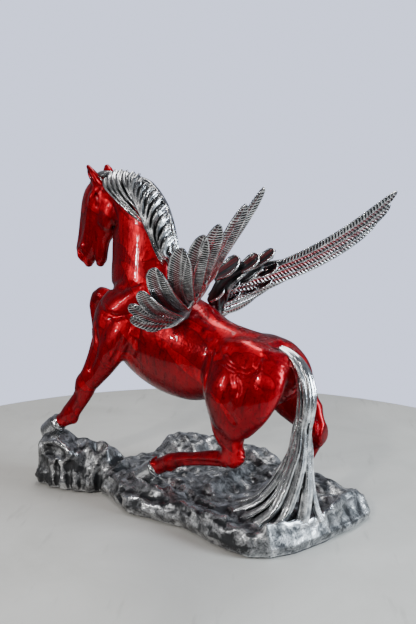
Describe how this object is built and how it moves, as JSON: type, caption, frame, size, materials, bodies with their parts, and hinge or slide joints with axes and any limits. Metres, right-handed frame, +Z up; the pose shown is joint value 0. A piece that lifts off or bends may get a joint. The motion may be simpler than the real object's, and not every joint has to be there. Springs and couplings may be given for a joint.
{
  "type": "winged horse sculpture",
  "caption": "Tabletop sculpture of a winged horse rearing off a craggy rock base, cast in separate pieces and held by hidden dowels and screws.",
  "frame": {"origin": "on the underside of the felt pad, below the middle of the rock base", "axes": "+Z up, the horse faces -X, and its left side, the one seen in the picture, faces -Y"},
  "size_m": [0.3775, 0.2736, 0.3794],
  "materials": {
    "red_lacquer": "glossy translucent crimson lacquer, marbled with darker brush streaks",
    "antique_silver": "plated antique silver, polished on the ridges and black in the grooves",
    "rock_silver": "plated antique silver on a craggy surface, blackened in the pits with faint red stains",
    "steel_pins": "bright drawn steel rod",
    "felt": "dark felt sheet"
  },
  "bodies": {
    "root": {"rock_base": "rock_silver", "felt_pad": "felt", "torso": "red_lacquer", "neck_and_head": "red_lacquer", "mane": "antique_silver", "forelock": "antique_silver", "left_foreleg": "red_lacquer", "left_fore_hoof": "antique_silver", "right_foreleg": "red_lacquer", "right_fore_hoof": "antique_silver", "left_hind_leg": "red_lacquer", "left_hind_hoof": "antique_silver", "right_hind_leg": "red_lacquer", "right_hind_hoof": "antique_silver", "left_wing": "antique_silver", "right_wing": "antique_silver", "tail": "antique_silver", "neck_dowel": "steel_pins", "tail_dowel": "steel_pins", "left_wing_dowel": "steel_pins", "right_wing_dowel": "steel_pins", "left_foreleg_dowel": "steel_pins", "right_foreleg_dowel": "steel_pins", "left_hind_leg_dowel": "steel_pins", "right_hind_leg_dowel": "steel_pins", "left_fore_hoof_pin": "steel_pins", "right_fore_hoof_pin": "steel_pins", "left_hind_hoof_pin": "steel_pins", "right_hind_hoof_pin": "steel_pins", "left_fore_screw": "steel_pins", "left_hind_screw": "steel_pins", "right_hind_screw": "steel_pins", "tail_screw": "steel_pins"}
  },
  "joints": []
}
